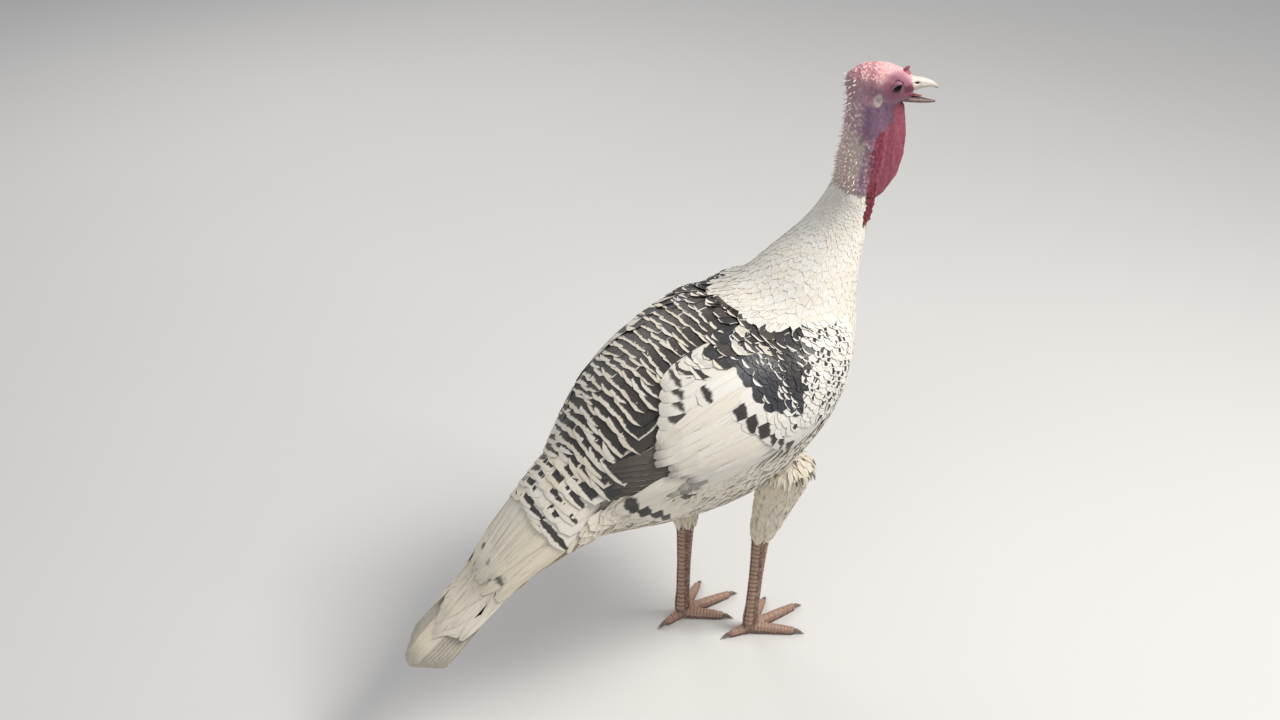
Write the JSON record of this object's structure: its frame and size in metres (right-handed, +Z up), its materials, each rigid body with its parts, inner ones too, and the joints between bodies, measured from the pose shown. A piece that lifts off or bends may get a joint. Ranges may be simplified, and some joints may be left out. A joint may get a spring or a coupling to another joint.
{
  "type": "domestic turkey display model, life size",
  "caption": "Life-size still model of a young domestic tom turkey, black and white, standing with its bill open and its head turned to its right.",
  "frame": {"origin": "on the floor under the middle of the whole model's bounding box", "axes": "+X the way the body faces, +Y the bird's left side, +Z up"},
  "size_m": [0.6892, 0.2702, 0.8119],
  "materials": {
    "plumage_white": "soft matt white feathers with fine grey lines",
    "plumage_barred": "black and white barred feathers with a faint sheen",
    "bare_skin": "bare warty skin, from blue-grey to pink",
    "wattle_skin": "smooth fleshy skin",
    "bill_horn": "satin horn",
    "mouth_skin": "moist skin",
    "eye_gloss": "polished",
    "leg_scale": "scaled satin skin",
    "claw_horn": "satin horn"
  },
  "bodies": {
    "root": {"bill_lower": "bill_horn", "bill_upper": "bill_horn", "claw_hind_left": "claw_horn", "claw_hind_right": "claw_horn", "claw_inner_left": "claw_horn", "claw_inner_right": "claw_horn", "claw_middle_left": "claw_horn", "claw_middle_right": "claw_horn", "claw_outer_left": "claw_horn", "claw_outer_right": "claw_horn", "dewlap": "wattle_skin", "eye_left": "eye_gloss", "eye_right": "eye_gloss", "head": "bare_skin", "neck_lower": "plumage_white", "neck_upper": "bare_skin", "shank_left": "leg_scale", "shank_right": "leg_scale", "snood": "wattle_skin", "tail": "plumage_white", "tail_coverts": "plumage_barred", "thigh_left": "plumage_white", "thigh_right": "plumage_white", "toe_hind_left": "leg_scale", "toe_hind_right": "leg_scale", "toe_inner_left": "leg_scale", "toe_inner_right": "leg_scale", "toe_middle_left": "leg_scale", "toe_middle_right": "leg_scale", "toe_outer_left": "leg_scale", "toe_outer_right": "leg_scale", "tongue": "mouth_skin", "trunk": "plumage_white", "wing_left_coverts": "plumage_barred", "wing_left_primaries": "plumage_white", "wing_left_secondaries": "plumage_white", "wing_right_coverts": "plumage_barred", "wing_right_primaries": "plumage_white", "wing_right_secondaries": "plumage_white"}
  },
  "joints": []
}
